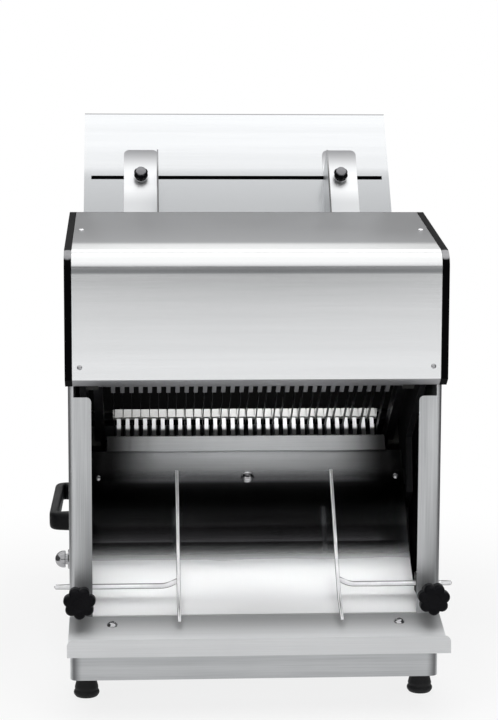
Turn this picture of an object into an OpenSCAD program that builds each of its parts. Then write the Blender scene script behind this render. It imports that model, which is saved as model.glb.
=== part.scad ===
// Bench bread slicer: a loaf slides down a chute through two opposed blade frames
// and leaves as slices on a curved slide. X is across, Y to the back, Z up. Millimetres.

/* [Body] */
// from the outer blades to the outside of the side panels
side_room = 55; // [50:0.5:60]
// from the tray lip to the front posts
tray_reach = 96.5; // [84:0.5:110]
// from the crank axis to the rear panel
rear_gap = 112.5; // [98:0.5:125]
// sheet metal thickness
sheet = 1.5; // [1:0.1:2]
// height of the rubber feet
foot_height = 27; // [22:1:32]
// foot diameter at the floor
foot_d = 33; // [28:1:38]
// distance of the foot centres from the pan walls
foot_inset = 20; // [18:1:26]
// height of the base pan
pan_height = 78; // [66:0.5:90]
// corner radius of the base pan
pan_corner = 10; // [6:1:14]
// height of the side panels at the front
panel_height = 301; // [270:1:330]
// width of the front flange of a side panel
flange_width = 29; // [26:1:32]
// outer bend radius of a side panel
panel_bend = 7; // [5:1:9]
// how far the flange stops under the panel top
flange_drop = 16; // [10:1:22]
// rear cover above the front of the side panels
roof_rise = 184; // [160:1:210]

/* [Chute] */
// slope of the chute from level
slope = 54; // [53.5:0.25:54.5]
// from the posts back to the cutting line
cut_back = 232.5; // [215:0.5:250]
// cutting line below the top of the side panels
cut_drop = 78; // [70:0.5:86]
// length of the infeed plate along the chute
infeed_length = 501; // [440:1:560]
// depth of the folded rims of the infeed plate
infeed_rim = 6; // [5:0.5:8]
// fence slot below the upper end of the infeed plate
slot_drop = 115.8; // [100:0.1:132]
// height of the fence slot
slot_height = 6.4; // [6.2:0.1:8]

/* [Blades] */
// spacing of the slices
pitch = 12; // [10:0.1:14]
// number of blades
blade_count = 31; // [25:2:37]
// blade thickness
blade_t = 0.6; // [0.5:0.1:1]
// blade width
blade_w = 11; // [9:0.5:11]
// depth of the blade teeth
tooth_depth = 1.2; // [0.8:0.1:2]
// number of teeth along a blade
tooth_count = 14; // [10:1:16]
// half stroke of the blade frames
half_stroke = 20; // [16:0.5:20]
// thickness of the frame bars
bar_t = 10; // [8:0.5:10]
// width of the frame side bars
bar_w = 12; // [10:0.5:12]
// height of the frame cross bars
bar_h = 20; // [16:1:22]
// lower cross bar below the chute
low_bar = 75; // [72:1:78]
// upper cross bar above the chute
high_bar = 200; // [196:1:206]
// gap between the planes of the two frames
frame_gap = 2; // [1:0.25:3]

/* [Combs] */
// width of a lower finger
finger_w = 5.4; // [4.5:0.1:6.5]
// length of the finger plate below the fingers
apron = 22.5; // [20:0.5:25]
// height of the nylon bar along the chute
nylon_h = 12; // [10:0.5:13]
// upper comb teeth above the chute
comb_height = 124; // [120:1:128]
// width of an upper tooth
comb_tooth = 5.4; // [4:0.1:6.5]
// length of an upper tooth
comb_depth = 17; // [15:0.5:19]
// slit width in the nylon bar
slit = 1.4; // [1:0.1:2]

/* [Slide and tray] */
// slope of the tray from level
tray_slope = 15; // [14:0.25:16]
// tray above the base pan at the posts
tray_rise = 5; // [4:0.25:6]
// inner bend radius of the slide
slide_bend = 150; // [120:5:165]
// height of the tray lip
lip_height = 21; // [16:1:26]

/* [Hood] */
// hood in front of the posts
hood_reach = 28; // [24:1:32]
// lower edge of the hood front above the side panels
hood_gap = 9; // [7:0.5:12]
// flat height of the hood front
hood_front = 138.5; // [120:0.5:160]
// bend radius of the hood
hood_bend = 22; // [16:1:28]
// slope of the hood top
hood_slope = 9.8; // [9:0.2:11]
// depth of the hood top behind its front
hood_depth = 228; // [224:1:232]
// thickness of the hood end plates
end_t = 9; // [7:0.5:10]
// end plates beyond the side panels
end_over = 2.5; // [1:0.5:4]

/* [Guides and controls] */
// diameter of the guide rods
rod_d = 7; // [6:0.25:8]
// diameter of the guide wires
wire_d = 5; // [4:0.25:6]
// rods above the tray at the posts
rod_rise = 33; // [28:0.5:38]
// rod behind the posts
rod_back = 24.5; // [22:0.5:28]
// rod end beyond the side panels
rod_out = 20; // [18:0.5:26]
// place of the left wire across
wire_left = 97; // [80:1:110]
// place of the right wire across
wire_right = 107; // [80:1:115]
// star knob diameter
star_d = 41; // [36:0.5:46]
// length of the star knob hub
star_hub = 34; // [26:1:40]
// forward reach of a guide wire from its rod
wire_reach = 62; // [54:1:70]
// backward reach of a guide wire from its rod
wire_back = 96; // [84:1:108]
// rise of a guide wire above its rod
wire_rise = 132; // [116:1:148]
// fall of a guide wire below its rod
wire_fall = 31; // [27:1:32]
// inner face of the left fence across
fence_left = 117; // [100:1:130]
// inner face of the right fence across
fence_right = 128; // [100:1:135]
// width of the fence foot
fence_foot = 50; // [44:1:54]
// height of the fence wing
fence_wing = 60; // [40:1:70]
// handle length
handle_length = 243; // [225:1:260]
// handle behind the posts
handle_back = 321; // [290:1:340]
// handle above the base pan
handle_rise = 72; // [60:1:84]
// handle projection
handle_out = 35; // [32:0.5:40]
// handle height
handle_h = 24; // [20:1:28]
// push button behind the posts
button_back = 60; // [50:1:70]
// push button above the base pan
button_rise = 66; // [56:1:76]
// push button diameter
button_d = 22; // [20:0.5:24]

/* [Drive] */
// connecting rod length between its eyes
rod_length = 150; // [147:1:153]
// crank pulley radius
crank_r = 75; // [68:1:78]
// motor pulley radius
motor_r = 30; // [26:1:34]
// motor body radius
motor_body_r = 68; // [60:1:72]
// motor axis behind the posts
motor_back = 241.5; // [220:0.5:260]
// motor body above its base plate
motor_seat = 15; // [12:0.5:18]
// length of the motor
motor_length = 200; // [180:1:210]
// length of the motor shaft up to its pulley
motor_shaft = 72; // [62:1:82]

/* [Hidden] */
$fn = 40;

ct = cos(slope);
st = sin(slope);
row = (blade_count - 1) / 2;
half = pitch * row + side_room;
body_width = 2 * half;
clear = 0.1;
seam = 0.4;
gap = 0.3;
chute_head = nylon_h + 0.8;
overall_depth = tray_reach + cut_back + (chute_head + infeed_length) * ct + infeed_rim * st;
front_y = -overall_depth / 2;
post_y = front_y + tray_reach;
chute_y = post_y + cut_back;
floor_z = foot_height + 2;
pan_top = foot_height + pan_height;
panel_top = pan_top + panel_height;
roof_top = panel_top + roof_rise;
chute_z = panel_top - cut_drop;
tray_z = pan_top + tray_rise;
hood_low = panel_top + hood_gap;
hood_bend_z = hood_low + hood_front;
infeed_width = body_width - 19;
slot_length = infeed_width - 21;
slot_w = chute_head + infeed_length - slot_drop;
frame_in = half - 21;
frame_t = 8;
frame_width = 2 * (frame_in - 8);
slide_width = 2 * (frame_in - 2);
rear_plane = -1 - bar_t / 2;
front_plane = rear_plane - bar_t - frame_gap;
comb_plane = front_plane - bar_t / 2 - 2;
finger_length = blade_w / 2 - front_plane + 5.5;
finger_gap = 2;
apron_low = finger_length + apron;
comb_width = 2 * (pitch * row + 10);
crank_w = (rear_plane + front_plane) / 2;
crank_s = -low_bar - rod_length;
crank_yz = [chute_y + crank_w * ct - crank_s * st, chute_z + crank_w * st + crank_s * ct];
crank_x = 48;
pin_offset = half_stroke;
pin_r = 3;
conrod_t = 16;
web_t = 8;
rear_y = crank_yz[0] + rear_gap;
body_depth = rear_y - post_y;
mid_y = (post_y + rear_y) / 2;
rod_z = tray_z + rod_rise;
rod_y = post_y + rod_back;
hood_y = post_y - hood_reach;
end_out = half + end_over;
end_in = end_out - end_t;
end_back_z = hood_low + 125;
ledge = 16;
ledge_t = 4;
ledge_in = end_in - ledge;
hood_top_y = hood_y + hood_bend * (1 - sin(hood_slope));
hood_top_z = hood_bend_z + hood_bend * cos(hood_slope);
hood_rear_y = hood_y + hood_depth;
hood_rear_z = hood_top_z + (hood_rear_y - hood_top_y) * tan(hood_slope);
pulley_x = half - 85;
pulley_t = 22;
guide_t = 15;
guide_in = frame_in - guide_t;
guide_len = 24;
guide_high = comb_height + 12;
rail_low = -24;
guide_low = rail_low - 2 - guide_len;
plate_front = post_y + 161.5;
plate_rear = rear_y - 28.5;
plate_high = guide_high + guide_len + 75;
star_x = half - 14;
star_z = rod_z - 3;
clamp_in = half - 27;
knob_w = slot_w;

// point on the side view from distance up the chute and distance off it
function cp(w, s) = [chute_y + w * ct - s * st, chute_z + w * st + s * ct];
// point on the chute line at a given height
function chute_at(z) = [chute_y + (z - chute_z) * ct / st, z];
// point on the tray line
function tray_at(y) = [y, tray_z + (y - post_y) * tan(tray_slope)];

// side view outline between two places across
module across(x0, x1) {
  translate([x0, 0, 0]) rotate([90, 0, 90]) linear_extrude(x1 - x0) children();
}
// same outline, mirrored pair of places for the right or left hand
module hand(side) {
  if (side > 0) children();
  if (side < 0) mirror([1, 0, 0]) children();
}
// frame of the chute: X across, Y up the chute, Z off it
module on_chute() {
  translate([0, chute_y, chute_z]) rotate([slope, 0, 0]) children();
}
// block from two corners
module block(a, b) {
  translate(a) cube(b - a);
}
// thin strip between two points of a side view, lying below the line
module strip(a, b, t) {
  n = (b - a) / norm(b - a);
  d = [n[1], -n[0]] * t;
  polygon([a, a + d, b + d, b]);
}
// part of a ring between two angles, less than half a turn
module ring_part(c, r0, r1, a0, a1) {
  far = r1 * 3;
  translate(c) intersection() {
    difference() {
      circle(r1, $fn = 96);
      circle(r0, $fn = 96);
    }
    polygon([[0, 0], for (a = [a0, (a0 + a1) / 2, a1]) far * [cos(a), sin(a)]]);
  }
}
module rounded_rect(w, d, r) {
  square([w - 2 * r, d], center = true);
  square([w, d - 2 * r], center = true);
  for (x = [-1, 1], y = [-1, 1]) translate([x * (w / 2 - r), y * (d / 2 - r)]) circle(r);
}
// round bar between two points
module bar(a, b, d, n = 16) {
  v = b - a;
  translate(a) rotate([0, acos(v[2] / norm(v)), atan2(v[1], v[0])])
    cylinder(h = norm(v), d = d, $fn = n);
}
// cylinder along X
module axle(x0, x1, r, c, n = 40) {
  translate([x0, c[0], c[1]]) rotate([0, 90, 0]) cylinder(h = x1 - x0, r = r, $fn = n);
}
// low domed screw head standing along +Z
module dome_head(d, h) {
  r = (d * d / 4 + h * h) / (2 * h);
  intersection() {
    translate([0, 0, h - r]) sphere(r, $fn = 32);
    cylinder(h = h + 1, d = d + 1, $fn = 24);
    translate([0, 0, h / 2]) cube([d + 1, d + 1, h], center = true);
  }
}

gland_x = 85 - half;
gland_z = foot_height + 39;
gland_d = 20;

module base_pan() {
  color("silver") difference() {
    translate([0, mid_y, foot_height]) linear_extrude(pan_top - foot_height)
      rounded_rect(body_width, body_depth, pan_corner);
    translate([0, mid_y, floor_z]) linear_extrude(pan_top)
      rounded_rect(body_width - 4, body_depth - 4, pan_corner - 2);
    translate([gland_x, rear_y - 10, gland_z]) rotate([-90, 0, 0]) cylinder(h = 20, d = gland_d);
  }
}

module feet() {
  color("black") for (x = [-1, 1], y = [post_y + foot_inset + 5, rear_y - foot_inset - 5])
    translate([x * (half - foot_inset), y, 0]) rotate_extrude($fn = 32)
      polygon([[0, 0], [foot_d / 2 - 3, 0], [foot_d / 2, 4], [foot_d / 2 - 1, 8],
        [foot_d / 2 - 4, foot_height], [0, foot_height]]);
}

// points on part of a circle
function round_part(c, r, a0, a1, n) =
  [for (i = [0 : n]) let (a = a0 + (a1 - a0) * i / n) c + r * [cos(a), sin(a)]];

// side wall, bent at the front post into a narrow flange
module side_panel(side) {
  flange_in = half - flange_width;
  flange_z = panel_top - flange_drop;
  bend = [half - panel_bend, post_y + panel_bend];
  corner = 6;
  color("silver") hand(side) difference() {
    intersection() {
      translate([0, 0, pan_top]) linear_extrude(roof_top - pan_top)
        polygon(concat([[flange_in, post_y]], round_part(bend, panel_bend, -90, 0, 10),
          [[half, rear_y], [half - sheet, rear_y]], round_part(bend, panel_bend - sheet, 0, -90, 10),
          [[flange_in, post_y + sheet]]));
      across(flange_in - 5, half + 5)
        polygon([[post_y - 5, pan_top - 5], [rear_y + 5, pan_top - 5], [rear_y + 5, roof_top + 5],
          chute_at(roof_top + 5), chute_at(panel_top), [post_y - 5, panel_top]]);
    }
    translate([flange_in - 1, post_y - 5, flange_z])
      cube([flange_width - panel_bend + 1, 10, flange_drop + 5]);
    translate([flange_in, post_y - 5, flange_z]) rotate([-90, 0, 0]) linear_extrude(10) difference() {
      translate([-1, -1]) square(corner + 1);
      translate([corner, corner]) circle(corner);
    }
    axle(half - 10, half + 10, rod_d / 2 + gap, [rod_y, rod_z]);
    translate([star_x, post_y - 5, star_z]) rotate([-90, 0, 0]) cylinder(h = 10, d = 9);
    if (side < 0) axle(half - 10, half + 10, button_d / 2 - 2.5, [button_y, button_z]);
  }
}
button_y = post_y + button_back;
button_z = pan_top + button_rise;
module left_side_panel() { side_panel(-1); }
module right_side_panel() { side_panel(1); }

// upright rear wall with a level top that stops short of what hangs under the infeed plate at its height
roof_gap = 1;
module rear_cover() {
  w = half - sheet;
  y = channel_w / 2 + sheet;
  by_channel = cp(slot_w - y, -channel_d)[1] < roof_top && cp(slot_w + y, -sheet)[1] > roof_top - sheet;
  head = cp(0, -(by_channel ? channel_d : infeed_rim) - roof_gap);
  color("silver") across(-w, w) union() {
    translate([rear_y - sheet, pan_top]) square([sheet, roof_top - pan_top]);
    translate([head[0] + (roof_top - head[1]) * ct / st, roof_top - sheet])
      square([rear_y - head[0] - (roof_top - head[1]) * ct / st, sheet]);
  }
}

// inner carrying plate that holds the blade guides and the crank
module frame_plate(side) {
  color("dimgray") hand(side) difference() {
    across(frame_in, frame_in + frame_t)
      polygon([cp(nylon_h, plate_high), cp(comb_plane - 27, plate_high), cp(comb_plane - 27, 40),
        cp(comb_plane - 95, 10), cp(comb_plane - 95, -40), [plate_front, floor_z + 91],
        [plate_front, floor_z], [plate_rear, floor_z], [plate_rear, floor_z + 221],
        cp(180, -sheet), cp(nylon_h, -sheet)]);
    axle(frame_in - 5, frame_in + frame_t + 5, 20, crank_yz);
  }
}
module left_frame_plate() { frame_plate(-1); }
module right_frame_plate() { frame_plate(1); }

tie_r = 7;
module cross_ties() {
  places = [[plate_rear - 30, floor_z + 31], cp(60, -40), cp(comb_plane - 15, plate_high - 15)];
  color("dimgray") for (c = places)
    axle(-frame_in, frame_in, tie_r, c, 24);
}

// rail that carries the nylon bar from plate to plate
module bar_rail() {
  color("dimgray") on_chute() block([-frame_in, 0.8, rail_low], [frame_in, nylon_h, -8]);
}

// flat bar under the slide that takes its screws
brace_w = -apron_low - 39.5;
module slide_brace() {
  color("dimgray") on_chute()
    block([-frame_in, brace_w - 12, -sheet - 12], [frame_in, brace_w + 12, -sheet]);
}

// hood sheet in side view, and the same line moved inwards
module hood_line(off, t, low) {
  r1 = hood_bend - off;
  c = [hood_y + hood_bend, hood_bend_z];
  top = c + r1 * [-sin(hood_slope), cos(hood_slope)];
  len = (hood_rear_y - hood_top_y) / cos(hood_slope);
  translate([hood_y + off, low]) square([t, hood_bend_z - low]);
  ring_part(c, r1 - t, r1, 90 + hood_slope, 180);
  along = [cos(hood_slope), sin(hood_slope)];
  strip(top - seam * along, top + len * along, t);
}

lip_in = 12.5;
lip_fall = 0.7 * lip_in;
module hood_cover() {
  color("white") across(-end_in, end_in) union() {
    hood_line(0, sheet, hood_low);
    polygon([[hood_y, hood_low], [hood_y + lip_in, hood_low - lip_fall],
      [hood_y + lip_in + 0.8, hood_low - lip_fall + 1.2], [hood_y + sheet, hood_low + 1]]);
  }
}

// black end plate with a ledge that the hood sheet lies on
module hood_end(side) {
  color("black") hand(side) union() {
    across(end_in, end_out) union() {
      polygon([[hood_y, hood_low], [hood_y, hood_bend_z], [hood_y + hood_bend, hood_bend_z],
        [hood_top_y, hood_top_z], [hood_rear_y, hood_rear_z], chute_at(end_back_z), chute_at(panel_top),
        [hood_y + lip_in, panel_top]]);
      ring_part([hood_y + hood_bend, hood_bend_z], 1, hood_bend, 90 + hood_slope, 180);
    }
    across(ledge_in, end_in) hood_line(sheet, ledge_t, hood_low + 2);
  }
}
module left_hood_end() { hood_end(-1); }
module right_hood_end() { hood_end(1); }

screw_x = end_in - 9.5;
module hood_screws() {
  color("silver") for (x = [-screw_x, screw_x]) {
    translate([x, hood_y, hood_low + 16]) rotate([90, 0, 0]) dome_head(6.5, 2.2);
    translate([x, hood_top_y, hood_top_z]) rotate([hood_slope, 0, 0])
      translate([0, hood_depth / 2 - 6, 0]) dome_head(6.5, 2.2);
  }
}

// inner plate from the rear edge of the hood down to the upper comb
throat_lap = 9;
module throat_plate() {
  top = [hood_rear_y, hood_rear_z] + (sheet + 0.05) * [sin(hood_slope), -cos(hood_slope)];
  back = top - 30 * [cos(hood_slope), sin(hood_slope)];
  low = cp(3, comb_height + throat_lap);
  w = ledge_in;
  color("silver") across(-w, w) union() {
    strip(back, top, sheet);
    strip(low, top, sheet);
  }
}

comb_t = 2;
module upper_comb() {
  color("silver") on_chute() union() {
    block([-guide_in, comb_plane - comb_t, comb_height + comb_depth],
      [guide_in, comb_plane, comb_height + 36]);
    for (i = [-row : row]) block([i * pitch - comb_tooth / 2, comb_plane - comb_t, comb_height],
      [i * pitch + comb_tooth / 2, comb_plane, comb_height + comb_depth + 1]);
  }
}

// folded chute plate with the slot for the fences
module infeed_plate() {
  w = infeed_width / 2;
  color("silver") on_chute() difference() {
    union() {
      block([-w, chute_head, -sheet], [w, chute_head + infeed_length, 0]);
      block([-w, chute_head + infeed_length - sheet, -infeed_rim], [w, chute_head + infeed_length, 0]);
      for (x = [-w, w - sheet])
        block([x, chute_head + 40, -infeed_rim], [x + sheet, chute_head + infeed_length, 0]);
    }
    block([-slot_length / 2, slot_w - slot_height / 2, -20],
      [slot_length / 2, slot_w + slot_height / 2, 20]);
  }
}

// shallow box behind the slot, in which the nuts of the fence knobs run
channel_w = 24;
channel_d = infeed_rim + 3.5;
module slot_channel() {
  x = slot_length / 2 + 6;
  y = channel_w / 2;
  color("dimgray") on_chute() translate([0, slot_w, 0]) difference() {
    block([-x - sheet, -y - sheet, -channel_d], [x + sheet, y + sheet, -sheet]);
    block([-x, -y, -channel_d + sheet], [x, y, 0]);
  }
}

// nylon bar at the foot of the chute, slit once for each blade
module nylon_bar() {
  w = pitch * row + 1.8;
  color("white") on_chute() difference() {
    block([-w, 0.8, -8], [w, chute_head, 0.5]);
    for (i = [-row : row])
      block([i * pitch - slit / 2, -5, -3.5], [i * pitch + slit / 2, chute_head + 5, 5]);
  }
}

// finger plate between the blades
module finger_plate() {
  w = comb_width / 2;
  color("silver") on_chute() union() {
    block([-w, -apron_low, 0], [w, -finger_length, sheet]);
    for (i = [-row : row - 1]) block([(i + 0.5) * pitch - finger_w / 2, -finger_length - 1, 0],
      [(i + 0.5) * pitch + finger_w / 2, -finger_gap, sheet]);
  }
}

// the slide: steep, then bent towards the tray
turn = slope - tray_slope;
corner_y = (tray_z - chute_z - post_y * tan(tray_slope) + chute_y * tan(slope))
  / (tan(slope) - tan(tray_slope));
corner = tray_at(corner_y);
run = slide_bend * tan(turn / 2);
bend_top = corner + run * [ct, st];
bend_low = corner - run * [cos(tray_slope), sin(tray_slope)];
bend_c = bend_top + slide_bend * [-st, ct];
slide_end = tray_at(post_y + 2.5);
head_w = finger_length + 9;
module slide_plate() {
  w = slide_width / 2;
  color("silver") union() {
    across(-w, w) union() {
      strip(bend_top, cp(-apron_low, 0), sheet);
      ring_part(bend_c, slide_bend, slide_bend + sheet, slope - 90, tray_slope - 90);
      strip(slide_end, bend_low, sheet);
    }
    on_chute() block([-comb_width / 2, -apron_low - 1, -sheet], [comb_width / 2, -head_w, 0]);
  }
}

module slide_screws() {
  color("silver") on_chute() {
    translate([0, brace_w, 0]) dome_head(18, 6);
    for (x = [-1, 1]) translate([x * (slide_width / 2 - 10), brace_w, 0]) dome_head(9, 3);
  }
}

// angle on the front of the pan that carries the slide and the tray
module tray_support() {
  w = half - flange_width - 2;
  a = tray_at(post_y - 40);
  b = tray_at(post_y + 18);
  down = [0, -sheet / cos(tray_slope)];
  color("silver") across(-w, w) union() {
    polygon([a + 2 * down, b + 2 * down, b + down, a + down]);
    translate([post_y - sheet, pan_top - 30]) square([sheet, tray_at(post_y)[1] - 2.4 - pan_top + 30]);
  }
}

// tray with an upturned lip
module front_tray() {
  lip_r = 4;
  low = tray_at(front_y + lip_r);
  corner_r = 8;
  color("silver") difference() {
    across(-half, half) union() {
      a = tray_at(post_y - 0.3);
      b = tray_at(front_y + lip_r);
      d = [0, -sheet / cos(tray_slope)];
      polygon([a, b, b + d, a + d]);
      polygon([b + d, b, [front_y + sheet, b[1] + 2], [front_y + sheet, b[1] + lip_height],
        [front_y, b[1] + lip_height], [front_y, b[1] - 1]]);
    }
    for (x = [-1, 1]) translate([x * (half - corner_r), front_y - 5, low[1] + lip_height - corner_r])
      rotate([-90, 0, 0]) linear_extrude(5 + sheet * 2) difference() {
        translate([x > 0 ? 0 : -corner_r - 1, -corner_r - 1]) square([corner_r + 1, corner_r + 1]);
        circle(corner_r);
      }
  }
}

module tray_screws() {
  color("silver") for (x = [-1, 1]) translate([x * (half - 54), post_y - 20, tray_at(post_y - 20)[1]])
    rotate([tray_slope, 0, 0]) dome_head(14, 4.5);
}

// carrying handle with two feet and a grip
handle_y = post_y + handle_back;
handle_z = pan_top + handle_rise;
module handle(side) {
  foot = 30;
  grip = 13;
  r = 14;
  color("black") hand(side) translate([half, handle_y, handle_z]) linear_extrude(handle_h)
  difference() {
    union() {
      translate([0, -handle_length / 2]) square([handle_out - r, handle_length]);
      translate([0, -handle_length / 2 + r]) square([handle_out, handle_length - 2 * r]);
      for (y = [-1, 1]) translate([handle_out - r, y * (handle_length / 2 - r)]) circle(r);
    }
    translate([-1, -handle_length / 2 + foot])
      square([handle_out - grip + 1, handle_length - 2 * foot]);
  }
}
module left_handle() { handle(-1); }
module right_handle() { handle(1); }

// block behind the flange that holds the guide rod
module rod_clamp(side) {
  color("dimgray") hand(side) difference() {
    block([clamp_in, post_y + sheet, rod_z - 12], [half - sheet, rod_y + 12, rod_z + 12]);
    axle(clamp_in - 5, half + 5, rod_d / 2 + clear, [rod_y, rod_z]);
    translate([star_x, post_y, star_z]) rotate([-90, 0, 0]) cylinder(h = rod_back, d = 8 + 2 * clear);
    translate([half - panel_bend, post_y + panel_bend, 0]) difference() {
      translate([0, -panel_bend, 0]) cube([panel_bend + 1, panel_bend, panel_top]);
      cylinder(h = panel_top, r = panel_bend - sheet - 0.2);
    }
  }
}
module left_rod_clamp() { rod_clamp(-1); }
module right_rod_clamp() { rod_clamp(1); }

// lobed clamping knob on a threaded stud
module star_knob(side) {
  lobe = 6.5;
  lobes = 7;
  head = 20;
  color("black") hand(side) translate([star_x, post_y, star_z]) rotate([90, 0, 0]) union() {
    translate([0, 0, star_hub]) intersection() {
      linear_extrude(head) union() {
        circle(star_d / 2 - 0.6 * lobe);
        for (i = [0 : lobes - 1]) rotate(i * 360 / lobes - 90) translate([star_d / 2 - lobe, 0])
          circle(lobe, $fn = 20);
      }
      rotate_extrude($fn = 48) polygon([[0, 0], [star_d / 2 - 2, 0], [star_d / 2 + 0.1, 3],
        [star_d / 2 + 0.1, head - 6], [star_d / 2 - 5, head], [0, head]]);
    }
    translate([0, 0, 0.3]) cylinder(h = star_hub, r = 9);
    translate([0, 0, -rod_back + rod_d / 2 + 0.6]) cylinder(h = rod_back, d = 8);
  }
}
module left_star_knob() { star_knob(-1); }
module right_star_knob() { star_knob(1); }

// straight rod with a kink, welded to a guide wire that is bent twice
kink = 24;
wire_n = 12;
module wire_guide(side, x) {
  z = rod_z;
  meet = [x, rod_y - 2, z + 10];
  knee = [x, rod_y - 0.42 * wire_reach, z - 0.45 * wire_fall];
  pts = [[x, rod_y + wire_back, z + wire_rise], meet, knee, [x, rod_y - wire_reach, z - wire_fall]];
  color("silver") hand(side) union() {
    axle(x + kink, half + rod_out, rod_d / 2, [rod_y, z], 24);
    bar([x + kink + 1, rod_y, z], meet - [0, 0, 2], rod_d - seam, wire_n);
    for (i = [0 : 2]) {
      along = seam * (pts[i + 1] - pts[i]) / norm(pts[i + 1] - pts[i]);
      bar(pts[i] - along, pts[i + 1] + along, wire_d, wire_n);
    }
  }
}
module left_wire_guide() { wire_guide(-1, wire_left); }
module right_wire_guide() { wire_guide(1, wire_right); }

// push button with a bright domed cap
module button_bezel() {
  r = button_d / 2;
  color("silver") hand(-1) translate([half, button_y, button_z]) rotate([0, 90, 0])
    rotate_extrude($fn = 40) polygon([[r - 4, -22], [r - 2.7, -22], [r - 2.7, 0], [r + 2, 0], [r + 2, 2],
      [r + 1, 3.5], [r - 4, 3.5]]);
}
module power_button() {
  r = button_d / 2;
  color("silver") hand(-1) translate([half, button_y, button_z]) rotate([0, 90, 0]) union() {
    translate([0, 0, -14]) cylinder(h = 24, r = r - 4 - clear);
    translate([0, 0, 6.8]) cylinder(h = 2.4, r = r);
    translate([0, 0, 9.2]) intersection() {
      sphere(r);
      translate([0, 0, r / 2]) cube([2 * r + 1, 2 * r + 1, r], center = true);
    }
  }
}

module cable_gland() {
  color("black") translate([gland_x, rear_y, gland_z]) rotate([-90, 0, 0]) difference() {
    union() {
      cylinder(h = 6, d = 28, $fn = 6);
      translate([0, 0, 6]) cylinder(h = 9, d1 = 23, d2 = 17);
      translate([0, 0, -12]) cylinder(h = 13, d = gland_d - 0.2);
    }
    translate([0, 0, -20]) cylinder(h = 50, d = 9);
  }
}

motor_y = post_y + motor_back;
base_t = 6;
motor_z = floor_z + base_t + motor_seat + motor_body_r;
motor_c = [motor_y, motor_z];
motor_right = pulley_x - motor_shaft;
motor_left = motor_right - motor_length;
module motor_mount() {
  foot = motor_body_r + 2;
  color("dimgray") difference() {
    union() {
      block([motor_left - 8, motor_y - foot, floor_z],
        [motor_right + 2, motor_y + foot, floor_z + base_t]);
      block([motor_left + 32, motor_y - foot + 25, floor_z + base_t - seam],
        [motor_right - 38, motor_y + foot - 25, motor_z - motor_body_r / 2]);
    }
    axle(motor_left - 20, motor_right + 12, motor_body_r + 0.02, motor_c, 64);
  }
}
module motor_body() {
  color("gray") union() {
    axle(motor_left + 12, motor_right - 18, motor_body_r, motor_c, 64);
    axle(motor_left, motor_left + 13, motor_body_r - 8, motor_c, 64);
    axle(motor_right - 19, motor_right - 8, motor_body_r - 8, motor_c, 64);
    axle(motor_right - 9, motor_right, 22, motor_c);
  }
}
module motor_pulley() {
  color("silver") union() {
    axle(motor_right + gap, pulley_x + pulley_t, 9, motor_c);
    axle(pulley_x, pulley_x + pulley_t, motor_r, motor_c, 64);
    for (x = [pulley_x - 2, pulley_x + pulley_t]) axle(x, x + 2, motor_r + 5, motor_c, 64);
  }
}

// belt loop: an arc round each pulley, joined by two straight runs
belt_t = 4;
belt_to = motor_c - crank_yz;
function belt_loop(off) =
  let (to = atan2(belt_to[1], belt_to[0]), wrap = acos((crank_r - motor_r) / norm(belt_to)))
  concat(round_part(crank_yz, crank_r + off, to + wrap, to + 360 - wrap, 44),
    round_part(motor_c, motor_r + off, to - wrap, to + wrap, 24));
module drive_belt() {
  color("black") across(pulley_x + gap, pulley_x + pulley_t - gap) difference() {
    polygon(belt_loop(gap + belt_t));
    polygon(belt_loop(gap));
  }
}

shaft_r = 12;
web_r = 33;
module crank_bearings() {
  color("dimgray") for (side = [-1, 1]) hand(side) difference() {
    union() {
      axle(frame_in - 16, frame_in, 30, crank_yz);
      axle(frame_in, frame_in + frame_t - 1, 19.5, crank_yz);
    }
    axle(frame_in - 20, frame_in + frame_t + 5, shaft_r + 0.05, crank_yz);
  }
}
module crankshaft() {
  inner = crank_x - conrod_t / 2 - gap;
  outer = crank_x + conrod_t / 2 + gap;
  color("silver") union() {
    axle(-inner + 1, inner - 1, shaft_r, crank_yz);
    for (side = [-1, 1]) hand(side) {
      axle(inner - web_t, inner, web_r, crank_yz);
      axle(outer, outer + web_t, web_r, crank_yz);
      axle(outer + 1, frame_in + frame_t - 2, shaft_r, crank_yz);
    }
  }
}
module crank_pulley() {
  color("silver") difference() {
    union() {
      axle(pulley_x, pulley_x + pulley_t, crank_r, crank_yz, 96);
      for (x = [pulley_x - 2, pulley_x + pulley_t]) axle(x, x + 2, crank_r + 5, crank_yz, 96);
    }
    axle(pulley_x - 5, pulley_x + pulley_t + 5, shaft_r, crank_yz);
  }
}

// nylon blocks in which the frame side bars run
module guide_blocks() {
  in_slot = frame_width / 2 + clear;
  color("white") for (side = [-1, 1], s = [guide_low, guide_high]) hand(side) on_chute() difference() {
    block([guide_in, comb_plane - comb_t - 2, s], [frame_in, 4, s + guide_len]);
    for (p = [front_plane, rear_plane]) block([guide_in - 5, p - bar_t / 2 - clear, s - 5],
      [in_slot, p + bar_t / 2 + clear, s + guide_len + 5]);
    if (s > 0) block([guide_in - 5, 0.5, s - 5], [frame_in - 6, 20, s + guide_len + 5]);
  }
}

bar_low = -low_bar + bar_h / 2;
bar_high = high_bar - bar_h / 2;
module rails(p) {
  color("silver") on_chute() for (side = [-1, 1]) hand(side)
    block([frame_width / 2 - bar_w, p - bar_t / 2, bar_low], [frame_width / 2, p + bar_t / 2, bar_high]);
}
module top_bar(p) {
  color("silver") on_chute()
    block([-frame_width / 2, p - bar_t / 2, bar_high], [frame_width / 2, p + bar_t / 2, bar_high + bar_h]);
}
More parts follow.
